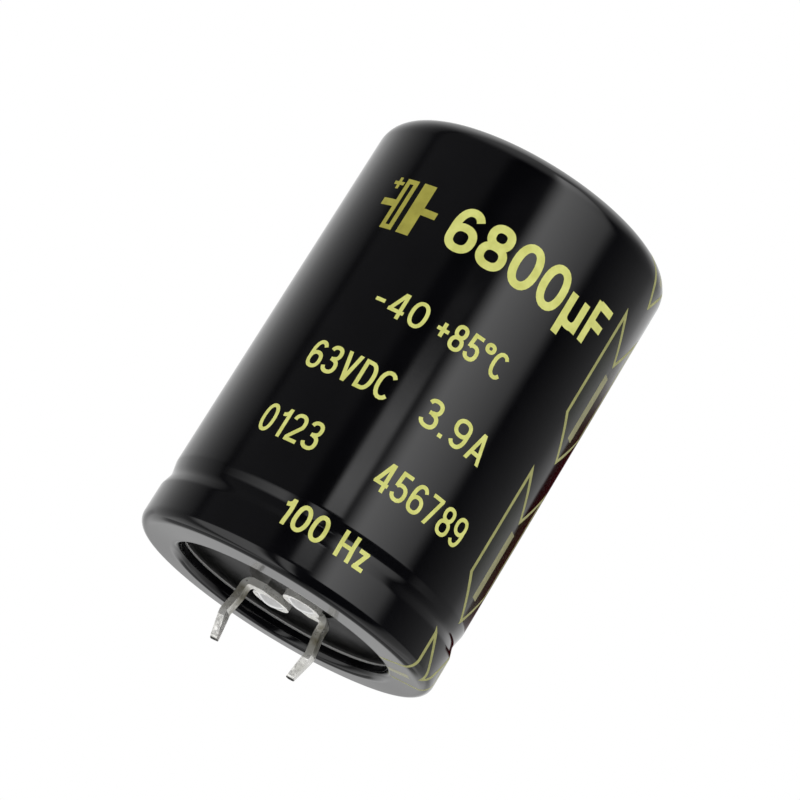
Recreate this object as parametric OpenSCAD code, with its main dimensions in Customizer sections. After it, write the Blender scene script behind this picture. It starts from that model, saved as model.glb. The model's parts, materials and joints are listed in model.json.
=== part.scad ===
// Snap-in aluminium electrolytic capacitor.
// Millimetres, +Z up. The origin is the centre of the seating plane, the lowest ring of the
// body. The terminals point down from it, and the negative terminal stands towards +X.

/* [Can] */
// Outside diameter of the drawn can
can_d = 35; // [30:0.5:40]
// Length of the can from the crown of its curled rim to its closed end
can_len = 52.3; // [35:0.1:80]
// Thickness of the can's side wall
can_wall = 0.5; // [0.35:0.05:0.6]
// Thickness of the closed end
end_wall = 0.9; // [0.7:0.1:1.4]
// Outside radius of the shoulder at the closed end
shoulder_r = 2.5; // [1.5:0.1:4]

/* [Pressure vent] */
// Length of each scored line in the closed end
vent_len = 17; // [8:0.5:22]
// Depth of the scored lines
vent_depth = 0.4; // [0.2:0.05:0.5]

/* [Bead and curled rim] */
// How far the rolled bead dips into the can
bead_depth = 1.3; // [1:0.1:1.6]
// Height from the bead's nose to each of its outer corners
bead_half = 1.65; // [1.5:0.05:2]
// Bend radius of the bead, on the middle of the wall
bead_bend = 0.7; // [0.5:0.05:0.7]
// How far the rim stands out past the side wall
rim_swell = 0.1; // [0:0.05:0.2]
// Outside radius of the rim's corner
rim_r = 1.2; // [0.8:0.1:1.6]
// How much higher the rim's corner lies than the crown of the curl
rim_lift = 0.15; // [0.1:0.05:0.8]
// Width of the curl, from the outside of the rim in to the mouth of the can
curl_w = 4.7; // [4:0.1:6]
// Bend radius of the curl's crown, on the middle of the wall
crown_bend = 0.45; // [0.35:0.05:0.6]
// How far the curl leans outwards on its way to the seal
curl_lean = 0.15; // [0:0.05:0.3]
// How deep the curl's edge sits in the rubber
curl_bite = 0.2; // [0.1:0.05:0.4]

/* [Film sleeve] */
// Thickness of the shrunk film
film = 0.15; // [0.1:0.01:0.25]
// How far the film laps in over the flat of the closed end, from the shoulder
film_lap = 1.2; // [0.5:0.1:4]
// How far the film dips where it bridges the bead
film_dip = 0.28; // [0.1:0.02:0.4]
// Width of the curl's edge that the film leaves bare in the recess
bare_edge = 0.35; // [0.1:0.05:0.6]

/* [Sealing disc] */
// Depth of the disc's face behind the seating plane
recess = 1.85; // [1.7:0.05:3]
// Thickness of the rubber facing
facing_t = 1; // [0.8:0.1:1.5]
// Thickness of the hard board
board_t = 2.1; // [1.5:0.1:3]
// Chamfer around the board's inner face
board_chamfer = 0.3; // [0.2:0.05:0.4]

/* [Terminals] */
// Distance between the two legs
pitch = 10; // [9:0.5:11]
// How far the legs reach below the seating plane
leg_len = 5.9; // [4:0.1:7]
// Width of the leg
leg_w = 1.5; // [1.2:0.1:2]
// Thickness of the terminal strip
strip_t = 0.8; // [0.6:0.05:0.9]
// How far the kink bows the leg outwards
kink = 0.4; // [0.2:0.05:0.5]
// How far the leg's end leans inwards
toe_in = 0.2; // [0:0.05:0.4]
// Diameter of the round lug
lug_d = 4.4; // [4:0.1:5]
// Sideways distance of each rivet from the middle, along the line of the legs
rivet_x = 2.6; // [2.4:0.1:3]
// Sideways distance of each rivet from the middle, across the line of the legs
rivet_y = 2.5; // [2.4:0.1:2.8]

/* [Rivets and washers] */
// Diameter of the rivet's shank
shank_d = 2; // [1.6:0.1:2.2]
// Diameter of the rivet's outer head
head_d = 3.2; // [2.8:0.1:3.8]
// Height of the rivet's outer head
head_h = 0.45; // [0.3:0.05:0.7]
// Diameter of the rivet's flared inner head
flare_d = 3.6; // [3:0.1:4]
// Height of the inner head
flare_h = 0.6; // [0.4:0.1:0.8]
// Diameter of the inner washer
washer_d = 4.4; // [4:0.1:4.6]
// Thickness of the inner washer
washer_t = 0.5; // [0.3:0.05:0.8]

/* [Winding] */
// Gap between the wound roll and the can's side, where the tape laps
roll_side_gap = 0.6; // [0.4:0.1:2]
// Diameter of the core hole that the mandrel leaves
core_d = 3.5; // [2.5:0.1:5]
// Chamfer at the roll's ends
roll_chamfer = 0.6; // [0.2:0.1:1]
// Length of the roll that the closing tape leaves bare at each end
tape_margin = 6.4; // [2:0.1:10]
// Thickness of the closing tape
tape_t = 0.1; // [0.05:0.01:0.15]
// Angle over which the tape laps its own end
tape_lap = 40; // [10:1:90]

/* [Foil tabs] */
// Width of each tab
tab_w = 4; // [3:0.1:4.4]
// Thickness of each tab
tab_t = 0.25; // [0.15:0.05:0.3]
// Reach of the tab from the rivet to its fold
tab_reach = 5; // [4:0.1:6]

/* [Fits] */
// Gap between the shrunk film and the can
film_gap = 0.03; // [0.01:0.005:0.05]
// Gap between the sealing disc and the can's wall
disc_gap = 0.1; // [0.05:0.01:0.2]
// Gap around the rivet's shank and around the curl's edge in its groove
pin_gap = 0.05; // [0.02:0.01:0.1]
// Gap between the roll and the can at the closed end and over the bead
roll_gap = 0.3; // [0.2:0.05:0.5]

/* [Hidden] */
$fn = 96;

// Straight pieces that stand for a quarter turn of a bend in a section
quarter_steps = 8;
// Overrun of a cut past the face that it opens
over = 0.1;

// Radii, from the axis
can_r = can_d / 2;
rim_out_r = can_r + rim_swell;
mouth_r = rim_out_r - curl_w;
bare_r = can_r - shoulder_r - film_lap;
disc_r = rim_out_r - can_wall - disc_gap;
roll_r = can_r - can_wall - roll_side_gap;

// Heights, from the seating plane upwards
crown_z = film + film_gap;
end_z = crown_z + can_len;
facing_z = recess;
board_z = facing_z + facing_t;
disc_top = board_z + board_t;
bead_z = disc_top - board_chamfer + bead_half;
washer_z = disc_top;
tab_z = washer_z + washer_t;
flare_z = tab_z + tab_t;
roll_z = bead_z + bead_half + roll_gap;

// The roll's upper edge keeps clear of the inside of the shoulder, whose bend starts inside it
shoulder_gap = min(roll_gap, roll_side_gap);
shoulder_reach = max(0, roll_r - can_r + shoulder_r);
shoulder_rise = sqrt(pow(shoulder_r - can_wall - shoulder_gap, 2) - pow(shoulder_reach, 2));
roll_top = end_z - max(end_wall + roll_gap, shoulder_r - shoulder_rise - roll_chamfer);

// Distance from the middle of the can's wall to the middle of the film over it
film_off = can_wall / 2 + film_gap + film / 2;

// A section bent from sheet is drawn as a band around rollers, as the rolls of a press form it.
// A roller is [x, y, radius of the band's middle, turn], where turn is 1 for a bend to the left
// and -1 for a bend to the right. A roller of radius 0 is an end of the band.

function left_of(heading) = [-sin(heading), cos(heading)];

function positive_angle(a) = a - 360 * floor(a / 360);

// Heading of the straight stretch that leaves roller a and meets roller b
function stretch(a, b) =
    let (span = [b[0] - a[0], b[1] - a[1]])
    atan2(span[1], span[0]) - asin((b[3] * b[2] - a[3] * a[2]) / norm(span));

// Headings of the band as it passes roller b, between its neighbours a and c
function headings(a, b, c) =
    let (first = stretch(a, b))
    let (sweep = b[3] * positive_angle(b[3] * (stretch(b, c) - first)))
    let (steps = max(1, ceil(abs(sweep) / 90 * quarter_steps)))
    [for (i = [0 : steps]) first + sweep * i / steps];

function on_roller(roller, heading, off) =
    [roller[0], roller[1]] + (off - roller[3] * roller[2]) * left_of(heading);

// One face of the band, off to the left of its middle
function face(rollers, off) =
    let (last = len(rollers) - 1)
    concat(
        [on_roller(rollers[0], stretch(rollers[0], rollers[1]), off)],
        [for (i = [1 : last - 1])
            for (h = headings(rollers[i - 1], rollers[i], rollers[i + 1]))
                on_roller(rollers[i], h, off)],
        [on_roller(rollers[last], stretch(rollers[last - 1], rollers[last]), off)]
    );

function reversed(list) = [for (i = [len(list) - 1 : -1 : 0]) list[i]];

module band(rollers, thickness) {
    polygon(concat(face(rollers, thickness / 2), reversed(face(rollers, -thickness / 2))));
}

// The can's wall, from the middle of its closed end to the edge that bites the rubber
shoulder = [can_r - shoulder_r, end_z - shoulder_r, shoulder_r - can_wall / 2, -1];
bead_top = [can_r - can_wall / 2 - bead_bend, bead_z + bead_half, bead_bend, -1];
bead_nose = [can_r - can_wall / 2 - bead_depth + bead_bend, bead_z, bead_bend, 1];
bead_foot = [rim_out_r - can_wall / 2 - bead_bend, bead_z - bead_half, bead_bend, -1];
rim_corner = [rim_out_r - rim_r, crown_z + rim_lift + rim_r, rim_r - can_wall / 2, -1];
crown = [mouth_r + can_wall / 2 + crown_bend, crown_z + can_wall / 2 + crown_bend, crown_bend, -1];
curl_tip = [mouth_r + can_wall / 2 + curl_lean, recess + curl_bite, 0, -1];
can_rollers = [
    [0, end_z - can_wall / 2, 0, -1],
    shoulder, bead_top, bead_nose, bead_foot, rim_corner, crown, curl_tip
];

module can() {
    color("silver")
    difference() {
        union() {
            rotate_extrude() band(can_rollers, can_wall);
            closed_end();
        }
        for (turn = [0, 90]) rotate([0, 0, turn]) vent_score();
    }
}

// The closed end is thicker than the wall and thins out into the shoulder
module closed_end() {
    full_r = can_r - shoulder_r - end_wall;
    rotate_extrude() polygon([
        [0, end_z - can_wall / 2],
        [0, end_z - end_wall],
        [full_r, end_z - end_wall],
        [full_r + end_wall - can_wall, end_z - can_wall],
        [full_r + end_wall - can_wall, end_z - can_wall / 2]
    ]);
}

// A V-shaped line pressed into the closed end, where the can opens if its pressure rises
module vent_score() {
    half_width = vent_depth * 0.6;
    translate([-vent_len / 2, 0, end_z])
    rotate([90, 0, 90])
    linear_extrude(vent_len)
    polygon([[-half_width, over], [half_width, over], [half_width, 0], [0, -vent_depth], [-half_width, 0]]);
}

// The film follows the can's rollers, but bridges the bead in a shallow dip of its own
film_r = can_r + film_gap + film / 2;
film_dip_bend = 1.8;

function covered(roller) = [roller[0], roller[1], roller[2] + film_off, roller[3]];

// The film stops short of the curl's tip, on the line of the curl
curl_heading = stretch(crown, curl_tip);
film_end = [curl_tip[0], curl_tip[1]] + film_off * left_of(curl_heading)
    - (curl_bite + bare_edge) * [cos(curl_heading), sin(curl_heading)];
sleeve_rollers = [
    [bare_r, end_z + film_gap + film / 2, 0, -1],
    covered(shoulder),
    covered(bead_top),
    [film_r - film_dip + film_dip_bend, bead_z, film_dip_bend, 1],
    covered(bead_foot),
    covered(rim_corner),
    covered(crown),
    [film_end[0], film_end[1], 0, -1]
];

module sleeve() {
    color([0.07, 0.07, 0.09])
    rotate_extrude() band(sleeve_rollers, film);
}

module at_rivets() {
    for (turn = [0, 180]) rotate([0, 0, turn]) at_rivet() children();
}

module at_rivet() {
    translate([rivet_x, -rivet_y, 0]) children();
}

module rivet_hole(z, depth) {
    translate([0, 0, z - over])
    cylinder(h = depth + 2 * over, d = shank_d + 2 * pin_gap);
}

// The groove that the curl's edge presses into the rubber leans as the curl does
module curl_groove() {
    along = [cos(curl_heading), sin(curl_heading)];
    across = (can_wall / 2 + pin_gap) * left_of(curl_heading);
    tip = [curl_tip[0], curl_tip[1]];
    mouth = tip - (curl_bite + over) * along;
    bottom = tip + pin_gap * along;
    rotate_extrude() polygon([mouth + across, mouth - across, bottom - across, bottom + across]);
}

module seal_facing() {
    color([0.13, 0.13, 0.14])
    difference() {
        translate([0, 0, facing_z]) cylinder(h = facing_t, r = disc_r);
        at_rivets() rivet_hole(facing_z, facing_t);
        curl_groove();
    }
}

module seal_board() {
    color([0.35, 0.2, 0.1])
    difference() {
        rotate_extrude() polygon([
            [0, board_z],
            [disc_r, board_z],
            [disc_r, disc_top - board_chamfer],
            [disc_r - board_chamfer, disc_top],
            [0, disc_top]
        ]);
        at_rivets() rivet_hole(board_z, board_t);
    }
}

// The leg's strip, seen from the side: flat on the disc, bent down, bowed out and back in
leg_bend = strip_t;
kink_bend = 1.2;
strip_z = recess - strip_t / 2;
leg_x = pitch / 2;
kink_top_z = -0.05 * leg_len;
kink_mid_z = -0.45 * leg_len;
leg_rollers = [
    [rivet_x, strip_z, 0, -1],
    [leg_x - leg_bend, strip_z - leg_bend, leg_bend, -1],
    [leg_x + kink_bend, kink_top_z, kink_bend, 1],
    [leg_x + kink - kink_bend, kink_mid_z, kink_bend, -1],
    [leg_x - toe_in, -leg_len, 0, -1]
];

// The leg's outline, seen from the can's side: it narrows to a round tip
tip_w = 0.8;
taper_top_z = -0.55 * leg_len;
tip_steps = 8;

module leg_outline() {
    tip_r = tip_w / 2;
    polygon(concat(
        [[-leg_w / 2, recess + over], [-leg_w / 2, taper_top_z]],
        [for (i = [0 : tip_steps])
            let (a = 180 + 180 * i / tip_steps)
            [tip_r * cos(a), tip_r - leg_len + tip_r * sin(a)]],
        [[leg_w / 2, taper_top_z], [leg_w / 2, recess + over]]
    ));
}

module leg() {
    intersection() {
        rotate([90, 0, 0])
        linear_extrude(leg_w + 2 * over, center = true)
        band(leg_rollers, strip_t);
        translate([rivet_x - over, 0, 0])
        rotate([90, 0, 90])
        linear_extrude(leg_x)
        leg_outline();
    }
}

// The lug is cut from the same strip: a round eye, joined to the leg by its own width
module lug() {
    translate([0, 0, recess - strip_t])
    linear_extrude(strip_t)
    difference() {
        union() {
            translate([rivet_x, -rivet_y]) circle(d = lug_d);
            lug_neck();
        }
        translate([rivet_x, -rivet_y]) circle(d = shank_d + 2 * pin_gap);
    }
}

// The neck leaves the eye's round edge on a slant and meets the leg at its full width
module lug_neck() {
    eye_r = lug_d / 2;
    slant = [rivet_x - eye_r * cos(45), eye_r * sin(45) - rivet_y];
    bend_x = leg_x - leg_bend;
    polygon([
        [rivet_x, -rivet_y],
        slant,
        slant + (leg_w / 2 - slant[1]) * [1, 1],
        [bend_x, leg_w / 2],
        [bend_x, -leg_w / 2],
        [rivet_x, -leg_w / 2]
    ]);
}

module terminal() {
    color([0.82, 0.82, 0.8])
    union() {
        lug();
        leg();
    }
}

module terminal_negative() {
    terminal();
}

module terminal_positive() {
    rotate([0, 0, 180]) terminal();
}

// A rivet runs through lug, disc, washer and tab. Its outer head is a low dome
// and its inner head is flared.
module rivet() {
    lug_face = recess - strip_t;
    head_r = head_d / 2;
    dome_r = (head_r * head_r + head_h * head_h) / (2 * head_h);
    shank_z = lug_face - head_h / 2;
    color([0.88, 0.88, 0.88])
    at_rivet() {
        translate([0, 0, shank_z])
        cylinder(h = flare_z + flare_h - shank_z, d = shank_d);
        intersection() {
            translate([0, 0, lug_face - head_h + dome_r]) sphere(r = dome_r);
            translate([0, 0, lug_face - head_h]) cylinder(h = head_h, d = head_d);
        }
        translate([0, 0, flare_z])
        cylinder(h = flare_h, d1 = flare_d, d2 = flare_d - flare_h);
    }
}

module rivet_negative() {
    rivet();
}

module rivet_positive() {
    rotate([0, 0, 180]) rivet();
}

module washer() {
    color([0.75, 0.75, 0.75])
    at_rivet()
    difference() {
        translate([0, 0, washer_z]) cylinder(h = washer_t, d = washer_d);
        rivet_hole(washer_z, washer_t);
    }
}

module washer_negative() {
    washer();
}

module washer_positive() {
    rotate([0, 0, 180]) washer();
}

// The tab lies on the washer, folds back over the rivet and rises into the roll.
// Its three bends share the room under the roll, less a short straight end.
tab_mid_z = tab_z + tab_t / 2;
tab_straight = 0.2;
tab_bend = (roll_z - tab_mid_z - tab_straight) / 3;
tab_start = -flare_d / 2 - 0.3;
tab_fold_z = tab_mid_z + 2 * tab_bend;
tab_rollers = [
    [tab_start, tab_mid_z, 0, 1],
    [tab_reach - tab_bend, tab_mid_z + tab_bend, tab_bend, 1],
    [tab_reach - 3 * tab_bend, tab_fold_z + tab_bend, tab_bend, -1],
    [tab_reach - 4 * tab_bend, roll_z, 0, -1]
];

module tab() {
    color([0.8, 0.8, 0.82])
    at_rivet()
    difference() {
        rotate([90, 0, 0])
        linear_extrude(tab_w, center = true)
        band(tab_rollers, tab_t);
        rivet_hole(tab_z, tab_t);
    }
}

module tab_negative() {
    tab();
}

module tab_positive() {
    rotate([0, 0, 180]) tab();
}

// Anode foil, paper, cathode foil and paper, wound as one roll
module winding() {
    color([0.85, 0.8, 0.68])
    rotate_extrude() polygon([
        [core_d / 2, roll_z],
        [roll_r - roll_chamfer, roll_z],
        [roll_r, roll_z + roll_chamfer],
        [roll_r, roll_top - roll_chamfer],
        [roll_r - roll_chamfer, roll_top],
        [core_d / 2, roll_top]
    ]);
}

// The tape goes once round the roll and laps its own end
module winding_tape() {
    tape_w = roll_top - roll_z - 2 * tape_margin;
    color([0.75, 0.65, 0.3])
    translate([0, 0, roll_z + tape_margin]) {
        rotate_extrude() translate([roll_r, 0]) square([tape_t, tape_w]);
        rotate_extrude(angle = tape_lap) translate([roll_r, 0]) square([2 * tape_t, tape_w]);
    }
}

can();
sleeve();
seal_facing();
seal_board();
terminal_positive();
terminal_negative();
rivet_positive();
rivet_negative();
washer_positive();
washer_negative();
tab_positive();
tab_negative();
winding();
winding_tape();
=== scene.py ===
# %% [markdown]
# # A snap-in electrolytic capacitor
#
# The part is an aluminium can, pressed in one piece. Its open end is rolled in over a
# disc that carries two terminals, and a shrunk black film covers the can and bears
# the print. The shape comes from the CAD model, and this lesson gives it its looks.
# Every piece lies in the CAD's own frame, in metres: the seating plane is z = 0, the
# terminals point down, and the closed end is up.

# %% Load the CAD frame
import json
import math
import bmesh
import bpy
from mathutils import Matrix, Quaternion, Vector


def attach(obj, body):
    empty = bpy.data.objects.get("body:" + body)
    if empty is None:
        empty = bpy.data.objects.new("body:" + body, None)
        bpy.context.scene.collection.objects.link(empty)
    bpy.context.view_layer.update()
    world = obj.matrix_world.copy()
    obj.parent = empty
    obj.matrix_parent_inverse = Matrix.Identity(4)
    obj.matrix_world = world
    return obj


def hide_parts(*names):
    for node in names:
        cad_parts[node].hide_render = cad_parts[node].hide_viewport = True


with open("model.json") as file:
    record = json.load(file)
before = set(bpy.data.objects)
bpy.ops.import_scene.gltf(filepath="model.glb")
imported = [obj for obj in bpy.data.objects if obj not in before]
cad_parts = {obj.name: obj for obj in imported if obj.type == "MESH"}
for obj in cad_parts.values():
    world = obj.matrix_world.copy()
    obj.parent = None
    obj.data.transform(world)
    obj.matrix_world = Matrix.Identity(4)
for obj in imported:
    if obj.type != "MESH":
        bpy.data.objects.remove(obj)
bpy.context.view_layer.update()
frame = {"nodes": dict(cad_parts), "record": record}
nodes = frame["nodes"]
mm = 0.001
print("CAD nodes:", ", ".join(sorted(nodes)))

# %% [markdown]
# ## The section of the film
#
# Film that is shrunk over a can follows each bend of the metal, so its section is a
# run of straight stretches and bends. It can be drawn as a belt round rollers: each
# roller is a centre, a radius and the way that the belt turns there, and the belt
# leaves one roller where it heads straight for the next. The rollers below are those
# of the CAD model, from the cut edge on the closed end, down the side, through the
# bead and round the rim, to the cut edge inside the mouth.

# %% The rollers, in mm: radius from the axis, height, bend radius, way of turning
film_thickness = 0.15
film_radius = 17.68
wall_to_film = 0.355
bare_tip = 0.55
curl_tip = Vector((13.3, 2.05))
curl_heading = math.radians(82.51)
along_curl = Vector((math.cos(curl_heading), math.sin(curl_heading)))
film_end = curl_tip + wall_to_film * Vector((-along_curl.y, along_curl.x)) - bare_tip * along_curl
film_rollers = (
    (13.8, 52.585, 0, -1),  # the cut edge on the closed end
    (15.0, 49.98, 2.605, -1),  # the shoulder
    (16.55, 7.95, 1.055, -1),  # the bead's upper corner
    (19.125, 6.3, 1.8, 1),  # the dip over the bead
    (16.65, 4.65, 1.055, -1),  # the bead's lower corner
    (16.4, 1.53, 1.305, -1),  # the rim's corner
    (13.6, 0.88, 0.805, -1),  # the crown of the curl
    (film_end.x, film_end.y, 0, -1),  # the cut edge in the mouth
)
print("The film ends in the mouth at radius and height", [round(value, 2) for value in film_end], "mm")

# %% Follow the belt round the rollers
def left_of(heading):
    """The direction a quarter turn to the left of a heading."""
    return Vector((-math.sin(heading), math.cos(heading)))


def heading_between(start, end):
    """Heading of the straight stretch from one roller to the next."""
    run = Vector((end[0] - start[0], end[1] - start[1]))
    return math.atan2(run.y, run.x) - math.asin((end[3] * end[2] - start[3] * start[2]) / run.length)


def touching(roller, heading, offset):
    """Where a face of the belt meets or leaves a roller at that heading."""
    return Vector(roller[:2]) + (offset - roller[3] * roller[2]) * left_of(heading)


def belt(rollers, offset, quarter_steps):
    """Points of the belt's face that lies offset to the left of its middle."""
    points = [touching(rollers[0], heading_between(rollers[0], rollers[1]), offset)]
    for before, roller, after in zip(rollers, rollers[1:], rollers[2:]):
        first = heading_between(before, roller)
        sweep = roller[3] * ((roller[3] * (heading_between(roller, after) - first)) % math.tau)
        steps = max(1, math.ceil(abs(sweep) / (math.pi / 2) * quarter_steps))
        points += [touching(roller, first + sweep * step / steps, offset) for step in range(steps + 1)]
    points.append(touching(rollers[-1], heading_between(rollers[-2], rollers[-1]), offset))
    return points


# %% Rows for the film: the belt's points, and more on its long stretches
def with_rows(points, longest=2.5, guard=0.2):
    """A row close to each end of a stretch keeps the bend's shading out of the straight."""
    rows = [points[0]]
    for start, end in zip(points, points[1:]):
        length = (end - start).length
        if length < 0.001:
            continue
        if length > 3 * guard:
            parts = math.ceil((length - 2 * guard) / longest)
            for part in range(parts + 1):
                rows.append(start.lerp(end, (guard + (length - 2 * guard) * part / parts) / length))
        rows.append(end)
    return rows


quarter_steps = 12
outer_face = with_rows(belt(film_rollers, film_thickness / 2, quarter_steps))[::-1]
row_lengths = [0.0]
for start, end in zip(outer_face, outer_face[1:]):
    row_lengths.append(row_lengths[-1] + (end - start).length)
film_length = row_lengths[-1]
print(len(outer_face), "rows over", round(film_length, 2), "mm of film")

# %% Where a height on the side lies along the film
side_starts = 15.0


def along_film(height):
    """Length along the film, from its edge in the mouth, of a height on the can's side."""
    for index in range(1, len(outer_face)):
        low, high = outer_face[index - 1], outer_face[index]
        on_the_side = min(low.x, high.x) > side_starts
        if on_the_side and low.y <= height <= high.y and high.y - low.y > 1e-9:
            share = (height - low.y) / (high.y - low.y)
            return row_lengths[index - 1] + share * (row_lengths[index] - row_lengths[index - 1])
    raise ValueError("the side of the can has no such height")


print("Height 30 mm lies", round(along_film(30), 2), "mm along the film")

# %% [markdown]
# ## Wrapping flat work on the can
#
# A real sleeve is printed flat, pulled over the can and shrunk on. The same order
# works here. Everything is first made flat: x runs round the can, y along the film
# from its lower edge, and z is the height above the film's outer face. A Geometry
# Nodes tree then wraps it: the length y finds a place on the section curve, z
# moves it off along the curve's outward side, and x turns it round the axis. One
# tree serves the film and all of its print, so they can't part from each other.

# %% Helpers: add a node, and reckon with sockets
def put(tree, kind, values=None, links=None, **settings):
    """Adds a node, with settings, input values and links from other nodes' sockets."""
    node = tree.nodes.new(kind)
    for name, value in settings.items():
        setattr(node, name, value)
    for name, value in (values or {}).items():
        node.inputs[name].default_value = value
    for name, socket in (links or {}).items():
        tree.links.new(socket, node.inputs[name])
    return node


def reckon(tree, kind, first, second=None):
    """A Math node on one value or two; each is a socket or a number."""
    node = tree.nodes.new("ShaderNodeMath")
    node.operation = kind
    for slot, value in enumerate((first, second)):
        if isinstance(value, bpy.types.NodeSocket):
            tree.links.new(value, node.inputs[slot])
        elif value is not None:
            node.inputs[slot].default_value = value
    return node.outputs[0]


# %% Helpers: start and end a Geometry Nodes tree
def new_tree(name, inputs, result):
    """A tree with named inputs and one result, and the sockets that give its inputs."""
    tree = bpy.data.node_groups.new(name, "GeometryNodeTree")
    for title, kind in inputs.items():
        tree.interface.new_socket(title, in_out="INPUT", socket_type="NodeSocket" + kind)
    tree.interface.new_socket(result, in_out="OUTPUT", socket_type="NodeSocketGeometry")
    return tree, tree.nodes.new("NodeGroupInput").outputs


def end_tree(tree, geometry, finish):
    """Realize Instances and Set Material come last, because the export drops instances."""
    real = put(tree, "GeometryNodeRealizeInstances", links={"Geometry": geometry})
    dressed = put(tree, "GeometryNodeSetMaterial", links={"Geometry": real.outputs[0], "Material": finish})
    tree.links.new(dressed.outputs[0], tree.nodes.new("NodeGroupOutput").inputs[0])
    print("The tree", tree.name, "has", len(tree.nodes), "nodes")


# %% Build the tree that wraps flat work on the can
wrap_inputs = {"Flat work": "Geometry", "Section": "Object", "Film radius": "Float", "Start angle": "Float",
               "Start length": "Float", "Finish": "Material"}
wrap_tree, given = new_tree("wrap_on_the_can", wrap_inputs, "Wrapped")
position = put(wrap_tree, "GeometryNodeInputPosition").outputs[0]
flat = put(wrap_tree, "ShaderNodeSeparateXYZ", links={0: position}).outputs
section = put(wrap_tree, "GeometryNodeObjectInfo", links={"Object": given["Section"]}).outputs["Geometry"]
at_length = reckon(wrap_tree, "ADD", flat[1], given["Start length"])
spot = put(wrap_tree, "GeometryNodeSampleCurve", links={"Curves": section, "Length": at_length},
           mode="LENGTH").outputs
point = put(wrap_tree, "ShaderNodeSeparateXYZ", links={0: spot["Position"]}).outputs
along = put(wrap_tree, "ShaderNodeSeparateXYZ", links={0: spot["Tangent"]}).outputs
# The curve's outward side is its tangent turned a quarter: x and z become z and -x.
from_axis = reckon(wrap_tree, "ADD", point[0], reckon(wrap_tree, "MULTIPLY", flat[2], along[2]))
height = reckon(wrap_tree, "SUBTRACT", point[2], reckon(wrap_tree, "MULTIPLY", flat[2], along[0]))
turn = reckon(wrap_tree, "DIVIDE", flat[0], given["Film radius"])
angle = reckon(wrap_tree, "ADD", turn, given["Start angle"])
across = reckon(wrap_tree, "MULTIPLY", from_axis, reckon(wrap_tree, "SINE", angle))
forward = reckon(wrap_tree, "MULTIPLY", from_axis, reckon(wrap_tree, "COSINE", angle))
backward = reckon(wrap_tree, "MULTIPLY", forward, -1.0)
place = put(wrap_tree, "ShaderNodeCombineXYZ", links={0: across, 1: backward, 2: height}).outputs[0]
moved = put(wrap_tree, "GeometryNodeSetPosition", links={"Geometry": given["Flat work"], "Position": place})
end_tree(wrap_tree, moved.outputs[0], given["Finish"])

# %% The section curve that the tree reads
section_data = bpy.data.curves.new("film_section", "CURVE")
section_data.dimensions = "3D"
section_line = section_data.splines.new("POLY")
section_line.points.add(len(outer_face) - 1)
for point_made, spot_on_face in zip(section_line.points, outer_face):
    point_made.co = (spot_on_face.x * mm, 0, spot_on_face.y * mm, 1)
section_curve = bpy.data.objects.new("film_section", section_data)
bpy.context.scene.collection.objects.link(section_curve)
print("The section curve has", len(section_line.points), "points")

# %% Helper: run a tree on a piece and keep its result as a plain mesh
def run_tree(piece, tree, **values):
    """Inputs are set by the socket's identifier, before the piece is first evaluated."""
    modifier = piece.modifiers.new("work", "NODES")
    modifier.node_group = tree
    for socket in tree.interface.items_tree:
        key = socket.name.lower().replace(" ", "_")
        if socket.in_out == "INPUT" and key in values:
            modifier[socket.identifier] = values[key]
    if piece.name not in bpy.context.scene.collection.objects:
        bpy.context.scene.collection.objects.link(piece)
    ready = piece.evaluated_get(bpy.context.evaluated_depsgraph_get())
    made = bpy.data.meshes.new_from_object(ready)
    piece.modifiers.clear()
    piece.data = made
    made.name = piece.name
    return piece


def wrap(piece, angle, length, finish):
    """Wraps a flat piece: angle in degrees from -Y, length in mm from the film's lower edge."""
    return run_tree(piece, wrap_tree, section=section_curve, film_radius=film_radius * mm,
                    start_angle=math.radians(angle), start_length=length * mm, finish=finish)


# %% [markdown]
# ## The finish of the film
#
# The sleeve is thin black plastic, shrunk tight with hot air. It is glossy, but never
# quite even: it keeps faint long waves from the shrinking, a very fine grain, and
# patches that are a little duller where it was handled. A Principled shader with a
# low roughness does the gloss, and noise at three scales does the rest. The noise
# reads Object coordinates, so it stays on the part whatever the camera does.

# %% Helpers: a colour, a new finish and its sockets
def from_screen(*levels):
    """A colour as a screen shows it, 0 to 255, as the linear colour that a shader needs."""
    return tuple(((c / 255 + 0.055) / 1.055) ** 2.4 if c > 10 else c / 255 / 12.92 for c in levels) + (1.0,)


def new_finish(name, **sockets):
    """A Principled finish, its tree and the Object coordinates that its patterns read."""
    finish = bpy.data.materials.new(name)
    finish.use_nodes = True
    for socket, value in sockets.items():
        finish.node_tree.nodes["Principled BSDF"].inputs[socket.replace("_", " ")].default_value = value
    return finish, finish.node_tree, put(finish.node_tree, "ShaderNodeTexCoord").outputs["Object"]


def feed(finish, **links):
    """Links what the nodes give to the shader's sockets."""
    tree = finish.node_tree
    for socket, value in links.items():
        tree.links.new(value, tree.nodes["Principled BSDF"].inputs[socket.replace("_", " ")])
    print("The finish", finish.name, "has", len(tree.nodes), "nodes")


# %% Helpers: noise, and values and colours that follow it
def lumps(tree, where, size, stretch, detail, shift=(0, 0, 0)):
    """Soft noise with lumps of about that size, in metres; stretch below 1 draws them out."""
    moved = put(tree, "ShaderNodeMapping", {"Scale": stretch, "Location": shift}, {"Vector": where}).outputs
    noise = put(tree, "ShaderNodeTexNoise", {"Scale": 1 / size, "Detail": detail}, {"Vector": moved[0]})
    return noise.outputs[0]


def spread(tree, value, low, high, start=0.3, end=0.7):
    """Turns a value between start and end into one from low to high."""
    ends = {"From Min": start, "From Max": end, "To Min": low, "To Max": high}
    return put(tree, "ShaderNodeMapRange", ends, {"Value": value}).outputs[0]


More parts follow.
